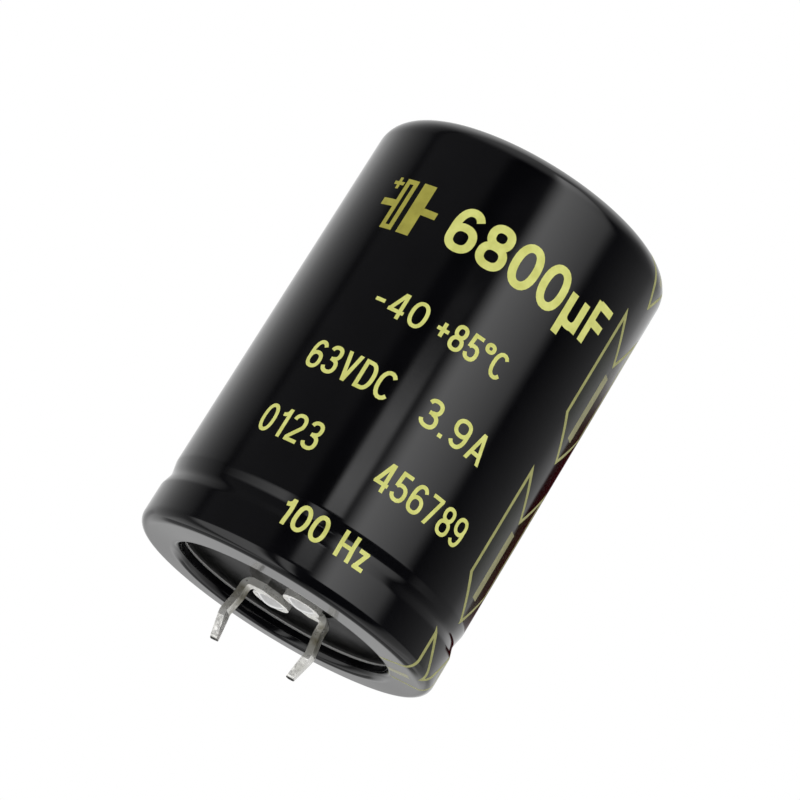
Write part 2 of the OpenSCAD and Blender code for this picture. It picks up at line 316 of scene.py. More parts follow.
def tints(tree, value, dark, pale):
    """Blends from one screen colour to another as the value goes from 0 to 1."""
    ramp = put(tree, "ShaderNodeValToRGB", links={0: value})
    for element, colour in zip(ramp.color_ramp.elements, (dark, pale)):
        element.color = from_screen(*colour)
    return ramp.outputs[0]


def mottled(tree, noise, dark, pale):
    """Screen colours that wander between two tints as the noise does."""
    return tints(tree, spread(tree, noise, 0, 1), dark, pale)


def overlaid(tree, share, under, over):
    """One colour over another by a share from 0 to 1; each is a socket or a screen colour."""
    mix = put(tree, "ShaderNodeMix", links={0: share}, data_type="RGBA")
    for slot, colour in ((6, under), (7, over)):
        if isinstance(colour, bpy.types.NodeSocket):
            tree.links.new(colour, mix.inputs[slot])
        else:
            mix.inputs[slot].default_value = from_screen(*colour)
    return mix.outputs[2]


def relief(tree, height, depth, strength, under=None):
    """A bump of that depth in metres, laid over another bump if there is one."""
    links = {"Height": height}
    if under is not None:
        links["Normal"] = under
    return put(tree, "ShaderNodeBump", {"Distance": depth, "Strength": strength}, links).outputs[0]


# %% Make the film's finish
film_finish, tree, where = new_finish("shrunk_black_film", IOR=1.5)
waves = lumps(tree, where, 0.011, (1, 1, 0.25), 1.0)
handling = lumps(tree, where, 0.006, (1, 1, 0.6), 4.0, (0.3, 0.1, 0))
grain = lumps(tree, where, 0.0004, (1, 1, 1), 2.0)
surface = relief(tree, grain, 0.000004, 0.12, relief(tree, waves, 0.00006, 0.35))
feed(film_finish, Base_Color=mottled(tree, handling, (4, 4, 6), (8, 8, 11)),
     Roughness=spread(tree, handling, 0.075, 0.13), Normal=surface)

# %% [markdown]
# ## The film
#
# The film could be turned in one go with a Screw modifier, but then its print would
# have to be placed by a rule of its own. Here it starts as a flat blank instead: a
# strip as long as the can is round, with one row of faces for each row of the
# section, a top face, a bottom face and two cut edges. The wrapping tree closes it
# into a sleeve, and its two ends are then welded. It stands for the CAD sleeve, in
# the same place and with the same section, only with finer steps.

# %% Lay out the flat blank
around_steps = 256
film_round = math.tau * film_radius
blank = bmesh.new()
layers = []
for depth in (0, -film_thickness):
    layers.append([[blank.verts.new((film_round * step / around_steps * mm, row * mm, depth * mm))
                    for step in range(around_steps + 1)] for row in row_lengths])
top, bottom = layers
for row in range(len(row_lengths) - 1):
    for step in range(around_steps):
        blank.faces.new((top[row][step], top[row][step + 1], top[row + 1][step + 1], top[row + 1][step]))
        blank.faces.new((bottom[row][step], bottom[row + 1][step],
                         bottom[row + 1][step + 1], bottom[row][step + 1]))
for step in range(around_steps):
    blank.faces.new((bottom[0][step], bottom[0][step + 1], top[0][step + 1], top[0][step]))
    blank.faces.new((top[-1][step], top[-1][step + 1], bottom[-1][step + 1], bottom[-1][step]))
blank_mesh = bpy.data.meshes.new("film_sleeve")
blank.to_mesh(blank_mesh)
blank.free()
film_sleeve = bpy.data.objects.new("film_sleeve", blank_mesh)
print("Flat blank:", len(blank_mesh.polygons), "faces")

# %% Wrap the blank, weld its ends and hand it to the frame
def weld(piece, nearness):
    """Merges points that lie that near, and counts the edges that aren't between two faces."""
    work = bmesh.new()
    work.from_mesh(piece.data)
    bmesh.ops.remove_doubles(work, verts=work.verts, dist=nearness)
    open_edges = sum(1 for edge in work.edges if len(edge.link_faces) != 2)
    work.to_mesh(piece.data)
    work.free()
    return open_edges


def smooth(piece, crease=35):
    """Shades a piece smooth, except at edges sharper than the crease, in degrees."""
    piece.data.shade_smooth()
    piece.data.set_sharp_from_angle(angle=math.radians(crease))


def join_part(piece, slot, *stands_for):
    """Lets a finished piece ride on the part and hides the CAD pieces that it stands for; the slot is not
    used.
    """
    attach(piece, "root")
    if stands_for:
        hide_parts(*stands_for)


wrap(film_sleeve, 180, 0, film_finish)
print("Open edges after welding:", weld(film_sleeve, 2e-6))
smooth(film_sleeve)
join_part(film_sleeve, "sleeve_film", "sleeve")
print("Film sleeve:", len(film_sleeve.data.polygons), "faces")

# %% [markdown]
# ## The ink
#
# The print is a single pass of olive-yellow ink, a few thousandths of a millimetre
# thick, which dries satin rather than glossy. It could be painted on in the film's
# own material, but then it would be missing from the mesh. Real solids are thin
# enough to sit on the film as ink does: they start inside the film and stand
# 0.008 mm proud of it.

# %% Make the inks and the stripe's tint
def make_ink(name, thin, full, dull=0.5, gloss=0.38):
    """Ink that is thin and dull in patches, with the fine marks of the printing mesh."""
    ink, tree, where = new_finish(name, IOR=1.45)
    patchy = lumps(tree, where, 0.0012, (1, 1, 1), 4.0)
    mesh_marks = lumps(tree, where, 0.00018, (1, 1, 1), 1.0)
    feed(ink, Base_Color=mottled(tree, patchy, thin, full), Roughness=spread(tree, patchy, dull, gloss),
         Normal=relief(tree, mesh_marks, 0.000004, 0.3))
    return ink


bright_ink = make_ink("print_ink_bright", (198, 200, 104), (218, 220, 128))
olive_ink = make_ink("print_ink_olive", (150, 144, 50), (168, 162, 64))
line_ink = make_ink("print_ink_line", (144, 144, 84), (160, 160, 96))
bar_ink = make_ink("print_ink_bar", (122, 120, 78), (138, 136, 90), 0.3, 0.2)
tint_ink = make_ink("print_ink_tint", (20, 22, 16), (27, 29, 21), 0.13, 0.09)

# %% [markdown]
# ## Lettering
#
# The rows of print are plain ratings and counting digits. Each letter is drawn as a
# pen draws it, with a few strokes of one width: straight, bent, or slanted with
# level ends. The strokes overlap where they meet, so a Geometry Nodes tree makes them
# one solid. The row is then cut across at short steps, because a face can only bend
# at its edges, and wrapped as the film was.

# %% Kinds of stroke, in a cell one unit high
# Each gives its points, whether it closes, and whether its ends are level.
def line(*points):
    return points, False, False


def ring(*points):
    return points, True, False


def slant(*points):
    return points, False, True


def arc(middle_x, middle_y, wide, high, start, end, steps=14):
    """Points round a slightly squared oval, from one angle to another, in degrees."""
    points = []
    for step in range(steps + 1):
        turn = math.radians(start + (end - start) * step / steps)
        x, y = (math.copysign(abs(value) ** 0.88, value) for value in (math.cos(turn), math.sin(turn)))
        points.append((middle_x + wide * x, middle_y + high * y))
    return points


def oval(middle_x, middle_y, wide, high):
    return ring(*arc(middle_x, middle_y, wide, high, 0, 360, 28)[:-1])


# %% The letters: their width, then their strokes
# A level stroke lies about half a pen inside the cell, so that its edge reaches the end.
def turned(stroke, wide):
    """The stroke turned half round in its cell, as a 9 is a turned 6."""
    points, closed, level = stroke
    return [(wide - x, 1 - y) for x, y in points], closed, level


six = (oval(0.3, 0.31, 0.235, 0.245), line(*arc(0.31, 0.5, 0.245, 0.435, 40, 180), (0.065, 0.31)))
letters = {
    "0": (0.6, oval(0.3, 0.5, 0.235, 0.435)),
    "1": (0.44, line((0.33, 0), (0.33, 1)), line((0.08, 0.76), (0.19, 0.775), (0.28, 0.84), (0.32, 0.95))),
    "2": (0.6, line(*arc(0.3, 0.69, 0.23, 0.245, 170, -28), (0.09, 0.1)), line((0.04, 0.065), (0.56, 0.065))),
    "3": (0.6, line(*arc(0.29, 0.735, 0.205, 0.2, 165, -88)), line(*arc(0.29, 0.285, 0.235, 0.22, 88, -168)),
          line((0.2, 0.52), (0.32, 0.52))),
    "4": (0.6, line((0.44, 0), (0.44, 1)), line((0.02, 0.27), (0.58, 0.27)), slant((0.08, 0.25), (0.41, 1))),
    "5": (0.6, line((0.52, 0.935), (0.15, 0.935), (0.11, 0.47)),
          line(*arc(0.295, 0.315, 0.235, 0.25, 140, -165))),
    "6": (0.6,) + six,
    "7": (0.58, line((0.04, 0.935), (0.55, 0.935)), slant((0.2, 0), (0.49, 0.93))),
    "8": (0.6, oval(0.3, 0.735, 0.2, 0.2), oval(0.3, 0.285, 0.235, 0.22)),
    "9": (0.6,) + tuple(turned(stroke, 0.6) for stroke in six),
    "A": (0.64, slant((0.075, 0), (0.32, 1)), slant((0.565, 0), (0.32, 1)), line((0.15, 0.29), (0.49, 0.29))),
    "C": (0.64, line(*arc(0.335, 0.5, 0.27, 0.435, 42, 318))),
    "D": (0.62, ring((0.085, 0.065), *arc(0.28, 0.5, 0.27, 0.435, -90, 90), (0.085, 0.935))),
    "F": (0.56, line((0.085, 0), (0.085, 1)), line((0.085, 0.935), (0.54, 0.935)),
          line((0.085, 0.51), (0.49, 0.51))),
    "H": (0.64, line((0.085, 0), (0.085, 1)), line((0.555, 0), (0.555, 1)),
          line((0.085, 0.51), (0.555, 0.51))),
    "V": (0.62, slant((0.31, 0), (0.075, 1)), slant((0.31, 0), (0.545, 1))),
    "z": (0.5, line((0.05, 0.655), (0.45, 0.655)), slant((0.1, 0.03), (0.4, 0.69)),
          line((0.04, 0.065), (0.46, 0.065))),
    "µ": (0.56, line((0.085, -0.26), (0.085, 0.72)), line((0.465, 0), (0.465, 0.72)),
          line((0.085, 0.4), *arc(0.275, 0.26, 0.19, 0.195, 180, 360), (0.465, 0.4))),
    "°": (0.4, oval(0.2, 0.835, 0.155, 0.13)),
    "+": (0.56, line((0.28, 0.2), (0.28, 0.74)), line((0.02, 0.47), (0.54, 0.47))),
    "-": (0.42, line((0.04, 0.42), (0.38, 0.42))),
    ".": (0.22, line((0.03, 0.065), (0.17, 0.065))),
    " ": (0.3,),
}
print(len(letters), "letters")

# %% Build the tree that makes overlapping strokes one solid
join_tree, given = new_tree("join_strokes", {"Strokes": "Geometry", "Finish": "Material"}, "Joined")
one = put(join_tree, "GeometryNodeMeshBoolean", {"Self Intersection": True}, {1: given["Strokes"]},
          operation="UNION", solver="EXACT")
end_tree(join_tree, one.outputs[0], given["Finish"])

# %% Helpers: a stroke as a solid, and flat work in general
half_draft = 0.1  # flat work starts this thick on each side
ink_bed = 0.02  # and ends this deep in the film
ink_proud = 0.008  # and this far above it


def add_stroke(work, points, pen, closed, level):
    """A bar of the pen's width along the points, with mitred corners."""
    sections = []
    corners = ((1, half_draft), (-1, half_draft), (-1, -half_draft), (1, -half_draft))
    for index, (x, y) in enumerate(points):
        ways = []
        if index or closed:
            ways.append(Vector((x, y)) - Vector(points[index - 1]))
        if closed or index < len(points) - 1:
            ways.append(Vector(points[(index + 1) % len(points)]) - Vector((x, y)))
        ways = [way.normalized() for way in ways]
        heading = (ways[0] + ways[-1]).normalized()
        aside = Vector((-heading.y, heading.x)) / (ways[0].dot(heading))
        if level:
            aside = Vector((-1 / heading.y, 0))
        sections.append([work.verts.new((x + aside.x * side * pen / 2, y + aside.y * side * pen / 2, z))
                         for side, z in corners])
    for here, there in zip(sections, sections[1:] + sections[:1] if closed else sections[1:]):
        for corner in range(4):
            work.faces.new((here[corner], here[corner - 3], there[corner - 3], there[corner]))
    if not closed:
        work.faces.new(sections[0][::-1])
        work.faces.new(sections[-1])


def as_ink(work):
    """Takes flat work from mm to metres and gives it the ink's thickness."""
    for v in work.verts:
        v.co = Vector((v.co.x * mm, v.co.y * mm, (ink_proud if v.co.z > 0 else -ink_bed) * mm))


def cut_across(work, axis, step):
    """Cuts flat work at even steps in mm, so that it can bend there."""
    values = [v.co[axis] / mm for v in work.verts]
    normal = Vector((1, 0, 0)) if axis == 0 else Vector((0, 1, 0))
    for count in range(math.ceil(min(values) / step), math.floor(max(values) / step) + 1):
        everything = work.verts[:] + work.edges[:] + work.faces[:]
        place = normal * count * step * mm
        bmesh.ops.bisect_plane(work, geom=everything, dist=1e-8, plane_co=place, plane_no=normal)


def keep_flat(work, mesh, name):
    """Ends the flat work and gives it to a new piece."""
    work.to_mesh(mesh)
    work.free()
    return bpy.data.objects.new(name, mesh)


# %% Helper: one row of lettering
photo_azimuth = 22.0
letter_gap = 0.12
round_step = 0.6
film_step = 0.25


def degrees_wide(degrees):
    """The width in mm of an angle on the film."""
    return math.radians(degrees) * film_radius


def lettering(name, words, angles, heights, pen, over_a_bend):
    """Words between two angles, from the camera's middle, and two heights on the side."""
    lengths = [along_film(height) for height in heights]
    high = lengths[1] - lengths[0]
    units = sum(letters[letter][0] + letter_gap for letter in words) - letter_gap
    wide = degrees_wide(angles[1] - angles[0]) / units
    work = bmesh.new()
    place = 0
    for letter in words:
        for points, closed, level in letters[letter][1:]:
            add_stroke(work, [((place + x) * wide, y * high) for x, y in points], pen, closed, level)
        place += letters[letter][0] + letter_gap
    piece = keep_flat(work, bpy.data.meshes.new(name), name)
    run_tree(piece, join_tree, finish=bright_ink)
    work = bmesh.new()
    work.from_mesh(piece.data)
    bmesh.ops.triangulate(work, faces=work.faces)
    as_ink(work)
    cut_across(work, 0, round_step)
    if over_a_bend:
        cut_across(work, 1, film_step)
    work.to_mesh(piece.data)
    work.free()
    wrap(piece, angles[0] + photo_azimuth, lengths[0], bright_ink)
    smooth(piece)
    join_part(piece, "sleeve_print")
    return piece


# %% Print the rows: name, words, angles, heights, pen, and whether the row crosses a bend
rows = (
    ("print_value", "6800µF", (-19.5, 49), (38.4, 43.4), 0.9, False),
    ("print_cold", "-40", (-29.5, -9.5), (29.0, 32.0), 0.42, False),
    ("print_warm", "+85°C", (-5.5, 21.7), (29.0, 32.0), 0.42, False),
    ("print_volts", "63VDC", (-40, -7), (20.6, 23.9), 0.44, False),
    ("print_amps", "3.9A", (5, 32), (20.6, 23.9), 0.44, False),
    ("print_digits_low", "0123", (-43, -19), (12.4, 15.7), 0.42, False),
    ("print_digits_high", "456789", (3, 42), (12.4, 15.7), 0.42, False),
    ("print_ripple", "100 Hz", (-18, 16), (4.4, 7.4), 0.46, True),
)
for row in rows:
    piece = lettering(*row)
    print(piece.name, len(piece.data.polygons), "faces")

# %% [markdown]
# ## The symbol
#
# Beside the value stands the plain circuit symbol of a polarised capacitor: an open
# plate for the positive side, a filled plate for the negative one, a lead on each
# and a plus sign. Its parts are flat closed outlines. A curve filled on both sides
# cuts an inner outline out of an outer one by itself.

# %% Helper: flat work from closed outlines, in mm
def outlines(name, loops):
    """Fills closed outlines, welds the result and gives it the ink's thickness."""
    shape = bpy.data.curves.new(name, "CURVE")
    shape.dimensions = "2D"
    shape.fill_mode = "BOTH"
    shape.extrude = half_draft
    for loop in loops:
        spline = shape.splines.new("POLY")
        spline.points.add(len(loop) - 1)
        for point_made, (x, y) in zip(spline.points, loop):
            point_made.co = (x, y, 0, 1)
        spline.use_cyclic_u = True
    drawn = bpy.data.objects.new(name, shape)
    bpy.context.scene.collection.objects.link(drawn)
    ready = drawn.evaluated_get(bpy.context.evaluated_depsgraph_get())
    mesh = bpy.data.meshes.new_from_object(ready)
    bpy.data.objects.remove(drawn)
    mesh.name = name
    work = bmesh.new()
    work.from_mesh(mesh)
    bmesh.ops.remove_doubles(work, verts=work.verts, dist=1e-6)
    as_ink(work)
    return work, mesh


def bar(left, right, low, high):
    """The outline of an upright bar."""
    return ((left, low), (right, low), (right, high), (left, high))


# %% Draw and wrap the symbol
lead = 0.42
plate = 3.1
symbol_start = -50
symbol_middle = 40.9
work, mesh = outlines("print_symbol", (
    ((0, -lead), (1.75, -lead), (1.75, -plate), (3.35, -plate),
     (3.35, plate), (1.75, plate), (1.75, lead), (0, lead)),
    bar(2.3, 2.8, -2.55, 2.55),
    ((4.05, -plate), (5.65, -plate), (5.65, -lead), (7.4, -lead),
     (7.4, lead), (5.65, lead), (5.65, plate), (4.05, plate)),
    ((0.1, 2.2), (0.6, 2.2), (0.6, 1.7), (1.0, 1.7), (1.0, 2.2), (1.5, 2.2),
     (1.5, 2.6), (1.0, 2.6), (1.0, 3.1), (0.6, 3.1), (0.6, 2.6), (0.1, 2.6)),
))
cut_across(work, 0, round_step)
print_symbol = keep_flat(work, mesh, "print_symbol")
wrap(print_symbol, symbol_start + photo_azimuth, along_film(symbol_middle), olive_ink)
smooth(print_symbol)
join_part(print_symbol, "sleeve_print")
print("Symbol:", len(print_symbol.data.polygons), "faces")

# %% [markdown]
# ## The polarity stripe
#
# A column of long arrows points to the negative terminal and repeats every 20 mm up
# the film. It is one arrow, so Geometry Nodes repeats it: a line of points, an
# instance on each, all made real. The column is longer than the film, as on a roll of
# printed film, and it is cut at the film's edges before it is wrapped.

# %% Build the tree that repeats flat work up the film
repeat_inputs = {"Flat work": "Geometry", "Count": "Int", "Pitch": "Vector", "Finish": "Material"}
repeat_tree, given = new_tree("repeat_up_the_film", repeat_inputs, "Column")
places = put(repeat_tree, "GeometryNodeMeshLine", links={"Count": given["Count"], "Offset": given["Pitch"]},
             mode="OFFSET").outputs[0]
copies = put(repeat_tree, "GeometryNodeInstanceOnPoints",
             links={"Points": places, "Instance": given["Flat work"]})
end_tree(repeat_tree, copies.outputs[0], given["Finish"])

# %% The arrow's outline, and the same outline drawn in by the line's width
def drawn_in(loop, width):
    """A closed outline moved inwards by width; the loop runs anticlockwise."""
    inner = []
    for index, corner in enumerate(loop):
        before, after = Vector(loop[index - 1]), Vector(loop[(index + 1) % len(loop)])
        first = (Vector(corner) - before).normalized()
        second = (after - Vector(corner)).normalized()
        inward = Vector((-first.y - second.y, first.x + second.x)).normalized()
        reach = width / inward.dot(Vector((-first.y, first.x)))
        inner.append(tuple(Vector(corner) + inward * reach))
    return inner


arrow_pitch = 20.0
arrow_count = 4
point_height = 27.5
points_below = 2
stripe_angle = 90
half_wide = degrees_wide(13.5)
line_wide = 0.48
arrow = ((0, 0), (half_wide, 4.6), (half_wide, 17.9), (0, 13.1), (-half_wide, 17.9), (-half_wide, 4.6))
arrow_inside = drawn_in(arrow, line_wide)
middle_bar = bar(-0.7, 0.7, 3.1, 11.3)
print("Arrow:", round(2 * half_wide, 2), "mm wide, every", arrow_pitch, "mm")

# %% Repeat, trim and wrap the stripe
flat_height = 52.6
edge_margin = 0.02
tint_proud = 0.004
below_flat = next(length for length, point in zip(row_lengths, outer_face) if point.y > flat_height)


def trim(piece):
    """Cuts the column at the film's lower edge and below the flat of the closed end."""
    work = bmesh.new()
    work.from_mesh(piece.data)
    for place, side in ((edge_margin, -1), (below_flat, 1)):
        everything = work.verts[:] + work.edges[:] + work.faces[:]
        cut = bmesh.ops.bisect_plane(work, geom=everything, dist=1e-8, plane_co=(0, place * mm, 0),
                                     plane_no=(0, side, 0), clear_outer=True)
        edges = [item for item in cut["geom_cut"] if isinstance(item, bmesh.types.BMEdge)]
        bmesh.ops.holes_fill(work, edges=edges, sides=0)
    work.to_mesh(piece.data)
    work.free()


def stripe(name, loops, finish, proud):
    """One ink of the column: drawn, repeated, trimmed and wrapped."""
    work, mesh = outlines(name, loops)
    for v in work.verts:
        if v.co.z > 0:
            v.co.z = proud * mm
    cut_across(work, 0, round_step)
    cut_across(work, 1, film_step)
    piece = keep_flat(work, mesh, name)
    run_tree(piece, repeat_tree, count=arrow_count, pitch=(0, arrow_pitch * mm, 0), finish=finish)
    lowest_point = along_film(point_height) - points_below * arrow_pitch
    for v in piece.data.vertices:
        v.co.y += lowest_point * mm
    trim(piece)
    wrap(piece, stripe_angle, 0, finish)
    smooth(piece)
    join_part(piece, "sleeve_print")
    return piece


stripe_lines = stripe("stripe_lines", (arrow, arrow_inside), line_ink, ink_proud)
stripe_bars = stripe("stripe_bars", (middle_bar,), bar_ink, ink_proud)
stripe_tint = stripe("stripe_tint", (arrow_inside, middle_bar), tint_ink, tint_proud)
print("Stripe:", [len(piece.data.polygons) for piece in (stripe_lines, stripe_bars, stripe_tint)], "faces")
bpy.data.objects.remove(section_curve)

# %% [markdown]
# ## Bare metal, rubber and the inner pieces
#
# The CAD pieces keep their own meshes and only get finishes. The can is satin
# aluminium with the faint rings that the punch leaves, seen on the closed end and as
# a thin lip in the mouth; that lip is painted paler and less metallic, a painted
# highlight. The terminals are stamped steel strip with a bright tin coat. Near the
# disc they are painted darker and olive in patches, which is painted shade, and their
# tips are painted dark: the cut steel is bare there, and painted shade darkens it
# further. The rivets are soft aluminium. The disc is faced with black rubber on a
# brown board. Inside are foil tabs, a roll of foil and paper, and the tape that holds
# it shut. Noise drawn out one way gives rolled metal its lines, and a wave texture
# gives the can its rings and the roll its turns.

# %% Aluminium of the can
can_finish, tree, where = new_finish("can_aluminium_satin", IOR=1.6)
punch_rings = {"Scale": 1400.0, "Distortion": 1.2, "Detail": 2.0, "Detail Scale": 0.6}
rings = put(tree, "ShaderNodeTexWave", punch_rings, {"Vector": where}, wave_type="RINGS",
            rings_direction="Z").outputs[1]
stains = lumps(tree, where, 0.003, (1, 1, 1), 4.0)
scratches = lumps(tree, where, 0.0007, (1, 0.04, 1), 3.0)
rough = relief(tree, rings, 0.000004, 0.3, relief(tree, scratches, 0.000006, 0.25))
height_here = put(tree, "ShaderNodeSeparateXYZ", links={0: where}).outputs[2]
above_mouth = spread(tree, height_here, 0, 1, 0.002, 0.004)
closed_end = mottled(tree, stains, (180, 181, 183), (190, 190, 192))
satin = reckon(tree, "ADD", spread(tree, stains, 0.5, 0.44), spread(tree, above_mouth, 0, 0.16, 0, 1))
# Painted highlight: the lip in the mouth is painted paler and less metallic than the closed end.
feed(can_finish, Base_Color=overlaid(tree, above_mouth, (236, 236, 234), closed_end),
     Metallic=spread(tree, above_mouth, 0.25, 0.75, 0, 1), Roughness=satin, Normal=rough)

# %% Tinned strip of the terminals
strip_finish, tree, where = new_finish("terminal_tinned_strip", Metallic=0.62, IOR=1.6)
pools = lumps(tree, where, 0.0009, (1, 1, 0.7), 2.0)
roll_lines = lumps(tree, where, 0.00012, (1, 1, 0.06), 2.0)
dull = lumps(tree, where, 0.0013, (1, 1, 1), 3.0, (0.2, 0, 0.4))
uneven = relief(tree, pools, 0.00012, 0.8, relief(tree, roll_lines, 0.000006, 0.3))
height_here = put(tree, "ShaderNodeSeparateXYZ", links={0: where}).outputs[2]
below_lug = spread(tree, height_here, 1, 0, 0.0004, 0.001)
# Painted shade: close to the disc the tin is painted darker and olive, in patches.
near_disc = reckon(tree, "MULTIPLY", spread(tree, height_here, 0, 1, -0.0034, -0.0012), below_lug)
patchy_painted_shade = reckon(tree, "MULTIPLY", near_disc, spread(tree, dull, 1, 0.35))
plain_tin = mottled(tree, dull, (226, 225, 218), (252, 251, 248))
tin_with_painted_shade = overlaid(tree, patchy_painted_shade, plain_tin, (122, 117, 96))
# The tip is painted dark: its cut steel is bare, and painted shade darkens it further.
bare_and_shaded_tip = spread(tree, height_here, 1, 0, -0.00576, -0.00562)
feed(strip_finish, Base_Color=overlaid(tree, bare_and_shaded_tip, tin_with_painted_shade, (48, 48, 45)),
     Roughness=spread(tree, dull, 0.42, 0.16), Normal=uneven)

# %% Soft aluminium of the rivets
rivet_finish, tree, where = new_finish("rivet_aluminium_bright", Metallic=0.5, IOR=1.6)
dents = lumps(tree, where, 0.0008, (1, 1, 1), 2.0)
feed(rivet_finish, Base_Color=mottled(tree, dents, (228, 228, 228), (248, 248, 248)),
     Roughness=spread(tree, dents, 0.24, 0.14), Normal=relief(tree, dents, 0.00003, 0.35))

# %% Black rubber facing
rubber_finish, tree, where = new_finish("disc_black_rubber", IOR=1.06)
bloom = lumps(tree, where, 0.0022, (1, 1, 1), 5.0)
pores = lumps(tree, where, 0.00022, (1, 1, 1), 2.0)
feed(rubber_finish, Base_Color=mottled(tree, bloom, (10, 10, 10), (18, 18, 17)),
     Roughness=spread(tree, bloom, 0.14, 0.24), Normal=relief(tree, pores, 0.000008, 0.25))

# %% Brown board under the facing
board_finish, tree, where = new_finish("disc_brown_board")
plies = lumps(tree, where, 0.0003, (0.2, 0.2, 1), 3.0)
feed(board_finish, Base_Color=mottled(tree, plies, (84, 52, 30), (122, 82, 50)),
     Roughness=spread(tree, plies, 0.5, 0.7), Normal=relief(tree, plies, 0.00002, 0.3))

# %% Foil of the tabs and washers
foil_finish, tree, where = new_finish("tab_foil", Metallic=1.0)
crinkle = lumps(tree, where, 0.0009, (1, 1, 1), 2.0)
drawn = lumps(tree, where, 0.0002, (0.05, 1, 1), 2.0)
creased = relief(tree, drawn, 0.00001, 0.3, relief(tree, crinkle, 0.00004, 0.4))
feed(foil_finish, Base_Color=mottled(tree, crinkle, (206, 207, 208), (228, 229, 230)),
     Roughness=spread(tree, crinkle, 0.4, 0.26), Normal=creased)

# %% Wound paper and foil
roll_finish, tree, where = new_finish("wound_paper")
wound_turns = {"Scale": 1100.0, "Distortion": 2.0, "Detail": 3.0, "Detail Scale": 0.4}
turns = put(tree, "ShaderNodeTexWave", wound_turns, {"Vector": where}, wave_type="RINGS",
            rings_direction="Z").outputs[1]
fibres = lumps(tree, where, 0.0005, (1, 1, 0.3), 4.0)
ridged = relief(tree, turns, 0.00006, 0.5, relief(tree, fibres, 0.00002, 0.4))
feed(roll_finish, Base_Color=tints(tree, turns, (176, 160, 130), (222, 208, 178)),
     Roughness=spread(tree, fibres, 0.65, 0.9), Normal=ridged)

# %% Tape round the roll
tape_finish, tree, where = new_finish("roll_tape", IOR=1.5)
pulled = lumps(tree, where, 0.0012, (1, 1, 0.1), 3.0)
feed(tape_finish, Base_Color=mottled(tree, pulled, (176, 138, 62), (202, 164, 86)),
     Roughness=spread(tree, pulled, 0.2, 0.36), Normal=relief(tree, pulled, 0.00003, 0.3))

# %% Dress the CAD pieces
finish_of_slot = {
    "can_aluminium": can_finish,
    "sleeve_film": film_finish,
    "seal_rubber": rubber_finish,
    "seal_board": board_finish,
    "tinned_strip": strip_finish,
    "rivet_aluminium": rivet_finish,
    "foil_aluminium": foil_finish,
    "roll_paper": roll_finish,
    "tape": tape_finish,
}
for part in frame["record"]["subparts"]:
    node = nodes[part["node"]]
    node.data.materials.clear()
    node.data.materials.append(finish_of_slot[part["material_slot"]])
    print(part["node"], "wears", node.data.materials[0].name)

# %% [markdown]
# ## The studio
#
# A black glossy can shows little but its surroundings, so the light is planned as a
# room: a tall soft box to the right of the camera, a weak panel to the left, dark in
# between, and a white wall behind the part that wraps round its edges. More light
# comes from below, where the photograph looks up into the mouth. A small dark flag
# with a trace of red hides a strip of the wall, behind and to the right. The panels
# hang in the world shader, and only reflections see them. Lamps could do the same,
# but soft edges and levels are easier to set as bearings and heights in degrees.
# Diffuse surfaces get an even, soft light, and the camera sees plain white. Bearings
# count from the camera's side, to the right, and heights from the horizon.

# %% Directions in the room, in degrees
scene = bpy.context.scene
studio = bpy.data.worlds.new("studio")
scene.world = studio
studio.use_nodes = True
studio.cycles.sampling_method = "NONE"
room = studio.node_tree
room.nodes.clear()
one_radian = 180 / math.pi
outwards = put(room, "ShaderNodeTexCoord").outputs["Generated"]
level_turn = {"Angle": -math.radians(photo_azimuth)}
from_camera = put(room, "ShaderNodeVectorRotate", level_turn, {"Vector": outwards}, rotation_type="Z_AXIS")
toward = put(room, "ShaderNodeSeparateXYZ", links={0: from_camera.outputs[0]}).outputs
round_angle = reckon(room, "ARCTAN2", toward[0], reckon(room, "MULTIPLY", toward[1], -1.0))
bearing = reckon(room, "MULTIPLY", round_angle, one_radian)
rise = reckon(room, "MULTIPLY", reckon(room, "ARCSINE", toward[2]), one_radian)
print("Bearing 0 is", photo_azimuth, "degrees to the right of the part's front")

# %% Helpers: the edge of a panel, and a panel
def edge(value, start, soft, falling=False):
    """0 below start and 1 above it, over a soft band in degrees, or the other way round."""
    low, high = (1.0, 0.0) if falling else (0.0, 1.0)
    ends = {"From Min": start - soft / 2, "From Max": start + soft / 2, "To Min": low, "To Max": high}
    return put(room, "ShaderNodeMapRange", ends, {"Value": value}, interpolation_type="SMOOTHSTEP").outputs[0]


def panel(bearings, heights, levels, soft, soft_height=8):
    """A panel of light between two bearings and two heights; its level runs from side to side."""
    level = spread(room, bearing, *levels, *bearings)
    for mask in (edge(bearing, bearings[0], soft[0]), edge(bearing, bearings[1], soft[1], True),
                 edge(rise, heights[0], soft_height), edge(rise, heights[1], soft_height, True)):
        level = reckon(room, "MULTIPLY", level, mask)
    return level


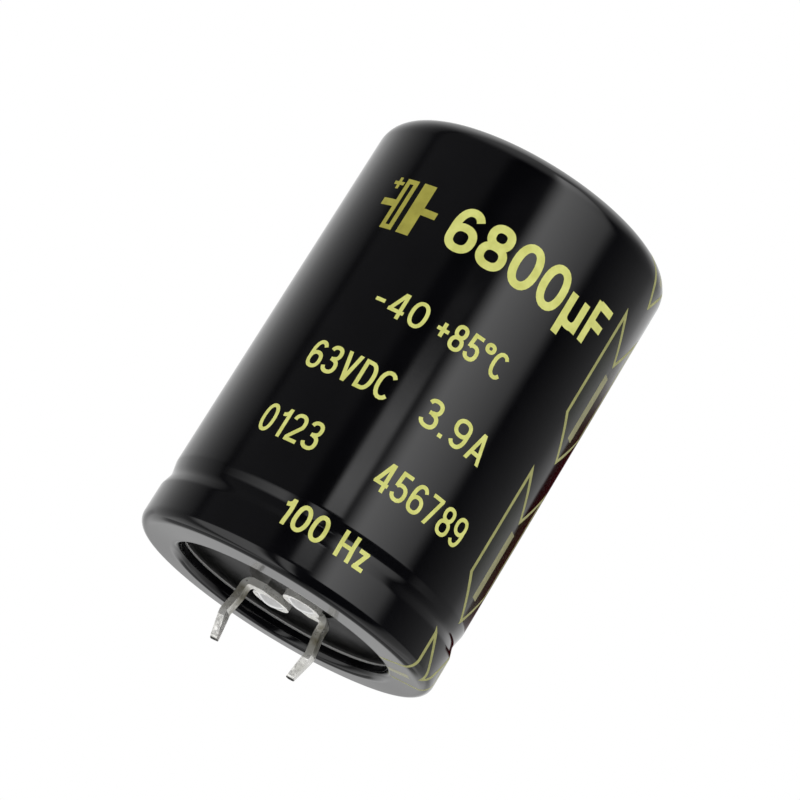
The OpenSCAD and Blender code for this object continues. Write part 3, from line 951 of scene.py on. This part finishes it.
# %% Hang the panels
every_height = (-100, 100)
panels = (
    panel((10, 60), (-4, 75), (2.5, 0.6), (16, 12), 4),  # the tall soft box
    panel((64, 118), every_height, (0.0, 0.32), (10, 10)),  # right side, paler towards the wall
    panel((118, 141), every_height, (0.4, 0.75), (10, 10)),
    panel((141, 200), (0, 100), (0.88, 0.92), (10, 8)),  # the wall behind, in two halves
    panel((-200, -141), (0, 100), (0.92, 0.85), (8, 8)),
    panel((141, 200), (-12, 0), (0.6, 0.6), (10, 8)),  # its foot, seen in the rim's far side
    panel((-200, -141), (-12, 0), (0.6, 0.6), (8, 8)),
    panel((141, 200), (-27, -12), (0.98, 1.02), (10, 8)),  # pale floor, seen in the rim's near side
    panel((-200, -141), (-27, -12), (1.02, 0.98), (8, 8)),
    panel((110, 200), (-80, -27), (0.3, 0.3), (10, 8)),  # dimmer floor, for the rivets' domes
    panel((-200, -110), (-80, -27), (0.3, 0.3), (8, 10)),
    panel((-141, -92), every_height, (0.85, 0.08), (8, 10)),  # left side, fading forwards
    panel((-88, -30), (-6, 80), (0.11, 0.1), (10, 10)),  # the weak panel on the left
    panel((-12, 2), (12.2, 15.5), (2.0, 2.0), (5, 5), 1.6),  # a glint under the bead
    panel((-20, -9), (-70, 2), (1.2, 1.2), (6, 6), 4),  # a strip below the camera
    panel((-92, -34), (-80, -7), (1.2, 1.5), (14, 14)),  # floor to the left
    panel((70, 118), (-80, -6), (0.35, 0.5), (14, 14)),  # floor to the right
    panel((-200, 200), (52, 100), (0.5, 0.5), (8, 8), 24),  # the ceiling
)
unlit = 0.015
reflected = unlit
for one_panel in panels:
    reflected = reckon(room, "ADD", reflected, one_panel)
flag = panel((139, 172), (12.1, 17.4), (1, 1), (4, 10), 1.2)
reflected = reckon(room, "MULTIPLY", reflected, reckon(room, "SUBTRACT", 1.0, flag))
print("The studio has", len(panels), "panels and a flag")

# %% Reflections see the panels, diffuse surfaces an even light, the camera plain white
even_light = 1.0
flag_red = (0.045, 0.003, 0.004, 1)
ray = put(room, "ShaderNodeLightPath").outputs
not_diffuse = reckon(room, "SUBTRACT", 1.0, ray["Is Diffuse Ray"])
not_camera = reckon(room, "SUBTRACT", 1.0, ray["Is Camera Ray"])
soft_part = reckon(room, "MULTIPLY", ray["Is Diffuse Ray"], even_light)
lit = reckon(room, "ADD", soft_part, reckon(room, "MULTIPLY", not_diffuse, reflected))
seen = reckon(room, "ADD", ray["Is Camera Ray"], reckon(room, "MULTIPLY", not_camera, lit))
air = put(room, "ShaderNodeBackground", {"Color": (1, 1, 1, 1)}, {"Strength": seen})
red_share = reckon(room, "MULTIPLY", flag, not_camera)
cloth = put(room, "ShaderNodeBackground", {"Color": flag_red}, {"Strength": red_share})
both = put(room, "ShaderNodeAddShader", links={0: air.outputs[0], 1: cloth.outputs[0]})
room.links.new(both.outputs[0], room.nodes.new("ShaderNodeOutputWorld").inputs[0])
scene.view_settings.view_transform = "Standard"
print("The room's shader has", len(room.nodes), "nodes")

# %% [markdown]
# ## The floor
#
# The photograph looks up at the part from below its terminals, so a floor close under
# it would hide it. A pale round floor lies further down. It fades to white at its
# edge, and reflections pass it by, because the room's panels already light the part
# from below.

# %% Lay the floor
floor_height = -0.12
floor_size = 0.9
fade_from = 0.15
fade_to = 0.7
floor_mesh = bpy.data.meshes.new("floor")
disc = bmesh.new()
bmesh.ops.create_circle(disc, cap_ends=True, radius=floor_size, segments=96)
for v in disc.verts:
    v.co.z = floor_height
disc.to_mesh(floor_mesh)
disc.free()
floor = bpy.data.objects.new("floor", floor_mesh)
scene.collection.objects.link(floor)
floor.visible_glossy = False
print("The floor lies", -floor_height, "m below the seating plane")

# %% Its finish fades to white away from the middle
floor_finish, tree, where = new_finish("pale_floor", Roughness=0.9, Base_Color=from_screen(244, 244, 243))
flat_spot = put(tree, "ShaderNodeMapping", {"Scale": (1, 1, 0)}, {"Vector": where}).outputs[0]
distance = put(tree, "ShaderNodeVectorMath", links={0: flat_spot}, operation="LENGTH").outputs["Value"]
glow = put(tree, "ShaderNodeEmission", {"Color": (1, 1, 1, 1), "Strength": 1.0}).outputs[0]
pale = tree.nodes["Principled BSDF"].outputs[0]
fade = spread(tree, distance, 0, 1, fade_from, fade_to)
faded = put(tree, "ShaderNodeMixShader", links={0: fade, 1: pale, 2: glow}).outputs[0]
tree.links.new(faded, tree.nodes["Material Output"].inputs[0])
floor_mesh.materials.append(floor_finish)
print("The finish", floor_finish.name, "has", len(tree.nodes), "nodes")

# %% [markdown]
# ## The camera
#
# The photograph was taken with a long lens, from the right of the front and from
# below the seating plane, and the part leans in the frame. The lean is a roll of the
# camera, so the part itself stays upright in its own frame. The camera's place, lens
# and shift were fitted to the outline of the part in the photograph.

# %% Aim the camera
aim_height = 0.02547
camera_distance = 0.33707
camera_roll = math.radians(31.67)
elevation = math.radians(-15.08)
azimuth = math.radians(photo_azimuth)
camera_data = bpy.data.cameras.new("photo_camera")
camera_data.lens = 141.6
camera_data.sensor_width = 36
camera_data.shift_x = -0.0042
camera_data.shift_y = 0.0162
camera_data.clip_start = 0.01
camera_data.clip_end = 20
camera = bpy.data.objects.new("photo_camera", camera_data)
scene.collection.objects.link(camera)
level_reach = math.cos(elevation)
back = Vector((math.sin(azimuth) * level_reach, -math.cos(azimuth) * level_reach, math.sin(elevation)))
camera.location = Vector((0, 0, aim_height)) + back * camera_distance
camera.rotation_mode = "QUATERNION"
camera.rotation_quaternion = (-back).to_track_quat("-Z", "Y") @ Quaternion((0, 0, 1), camera_roll)
scene.camera = camera
print("The camera stands at", [round(value, 3) for value in camera.location], "m")
